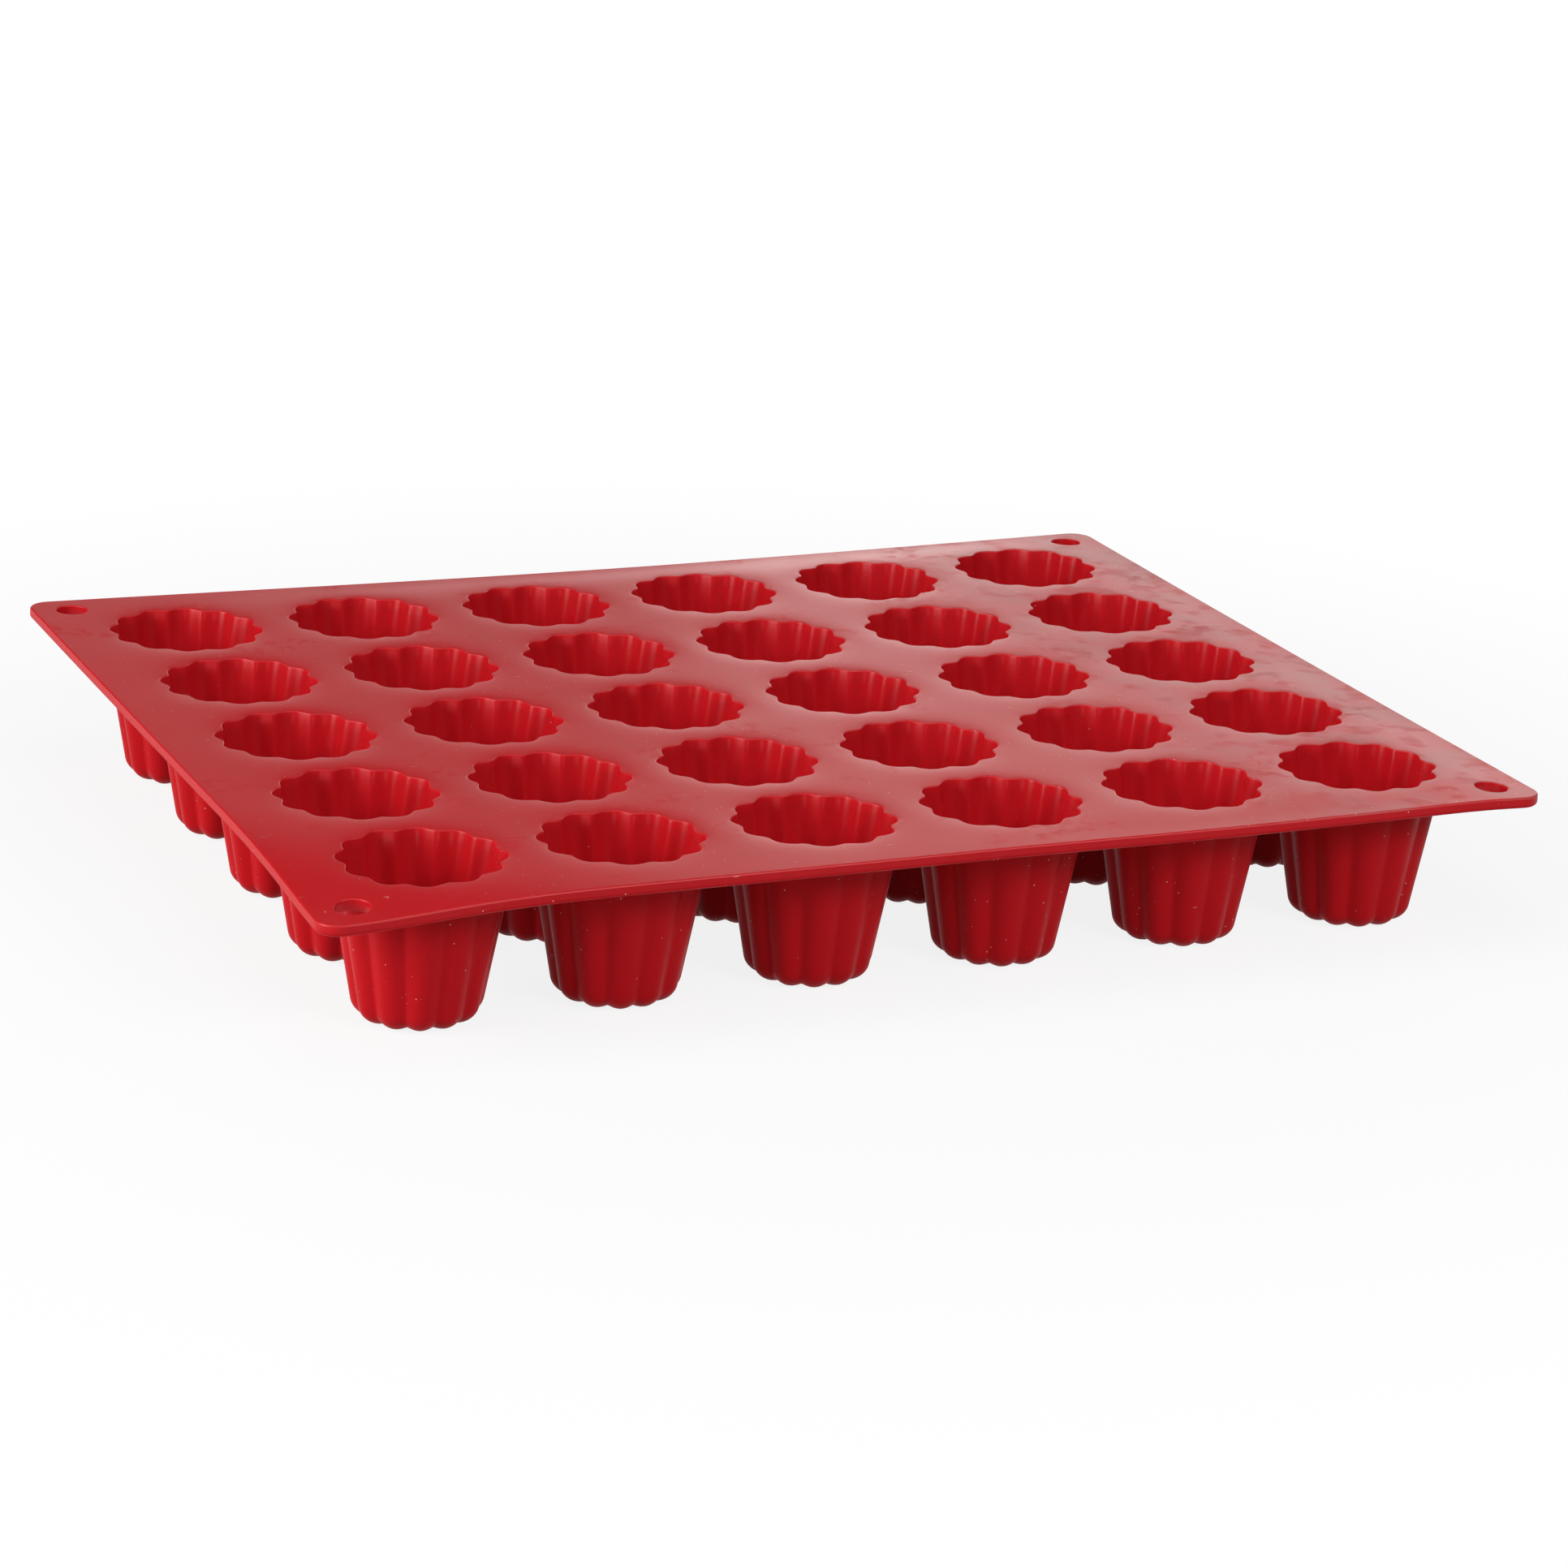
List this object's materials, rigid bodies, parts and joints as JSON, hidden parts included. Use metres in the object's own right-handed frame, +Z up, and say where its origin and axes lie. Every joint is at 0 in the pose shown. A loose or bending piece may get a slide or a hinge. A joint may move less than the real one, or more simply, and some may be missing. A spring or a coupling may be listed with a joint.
{
  "type": "silicone canele mould",
  "caption": "Flexible silicone baking mould: fluted, tapered cups hang in a grid from a flat rectangular sheet with round corners and a hang hole in each corner.",
  "frame": {"origin": "middle of the mould's outline, at the level of the cup bases", "axes": "+X along the long side, +Y along the short side, +Z up out of the cup mouths"},
  "size_m": [0.325, 0.265, 0.0402],
  "materials": {
    "red_silicone": "satin"
  },
  "bodies": {
    "column_1": {"sheet_panel_1": "red_silicone", "cup_1_1": "red_silicone", "cup_1_2": "red_silicone", "cup_1_3": "red_silicone", "cup_1_4": "red_silicone", "cup_1_5": "red_silicone"},
    "column_2": {"sheet_panel_2": "red_silicone", "cup_2_1": "red_silicone", "cup_2_2": "red_silicone", "cup_2_3": "red_silicone", "cup_2_4": "red_silicone", "cup_2_5": "red_silicone", "fold_strip_1_2": "red_silicone"},
    "column_3": {"sheet_panel_3": "red_silicone", "cup_3_1": "red_silicone", "cup_3_2": "red_silicone", "cup_3_3": "red_silicone", "cup_3_4": "red_silicone", "cup_3_5": "red_silicone", "fold_strip_2_3": "red_silicone", "fold_strip_3_4": "red_silicone"},
    "column_4": {"sheet_panel_4": "red_silicone", "cup_4_1": "red_silicone", "cup_4_2": "red_silicone", "cup_4_3": "red_silicone", "cup_4_4": "red_silicone", "cup_4_5": "red_silicone", "fold_strip_4_5": "red_silicone"},
    "column_5": {"sheet_panel_5": "red_silicone", "cup_5_1": "red_silicone", "cup_5_2": "red_silicone", "cup_5_3": "red_silicone", "cup_5_4": "red_silicone", "cup_5_5": "red_silicone", "fold_strip_5_6": "red_silicone"},
    "column_6": {"sheet_panel_6": "red_silicone", "cup_6_1": "red_silicone", "cup_6_2": "red_silicone", "cup_6_3": "red_silicone", "cup_6_4": "red_silicone", "cup_6_5": "red_silicone"}
  },
  "joints": [
    {"name": "fold_1_2", "type": "hinge", "parent": "column_2", "child": "column_1", "pos_m": [-0.1014, 0, 0.0387], "axis": [0, 1, 0], "range_deg": [-28, 45], "stiffness_Nm_per_rad": 0.16, "deforming": ["fold_strip_1_2"]},
    {"name": "fold_2_3", "type": "hinge", "parent": "column_3", "child": "column_2", "pos_m": [-0.0507, 0, 0.0387], "axis": [0, 1, 0], "range_deg": [-28, 45], "stiffness_Nm_per_rad": 0.16, "deforming": ["fold_strip_2_3"]},
    {"name": "fold_3_4", "type": "hinge", "parent": "column_3", "child": "column_4", "pos_m": [0, 0, 0.0387], "axis": [0, -1, 0], "range_deg": [-28, 45], "stiffness_Nm_per_rad": 0.16, "deforming": ["fold_strip_3_4"]},
    {"name": "fold_4_5", "type": "hinge", "parent": "column_4", "child": "column_5", "pos_m": [0.0507, 0, 0.0387], "axis": [0, -1, 0], "range_deg": [-28, 45], "stiffness_Nm_per_rad": 0.16, "deforming": ["fold_strip_4_5"]},
    {"name": "fold_5_6", "type": "hinge", "parent": "column_5", "child": "column_6", "pos_m": [0.1014, 0, 0.0387], "axis": [0, -1, 0], "range_deg": [-28, 45], "stiffness_Nm_per_rad": 0.16, "deforming": ["fold_strip_5_6"]}
  ]
}
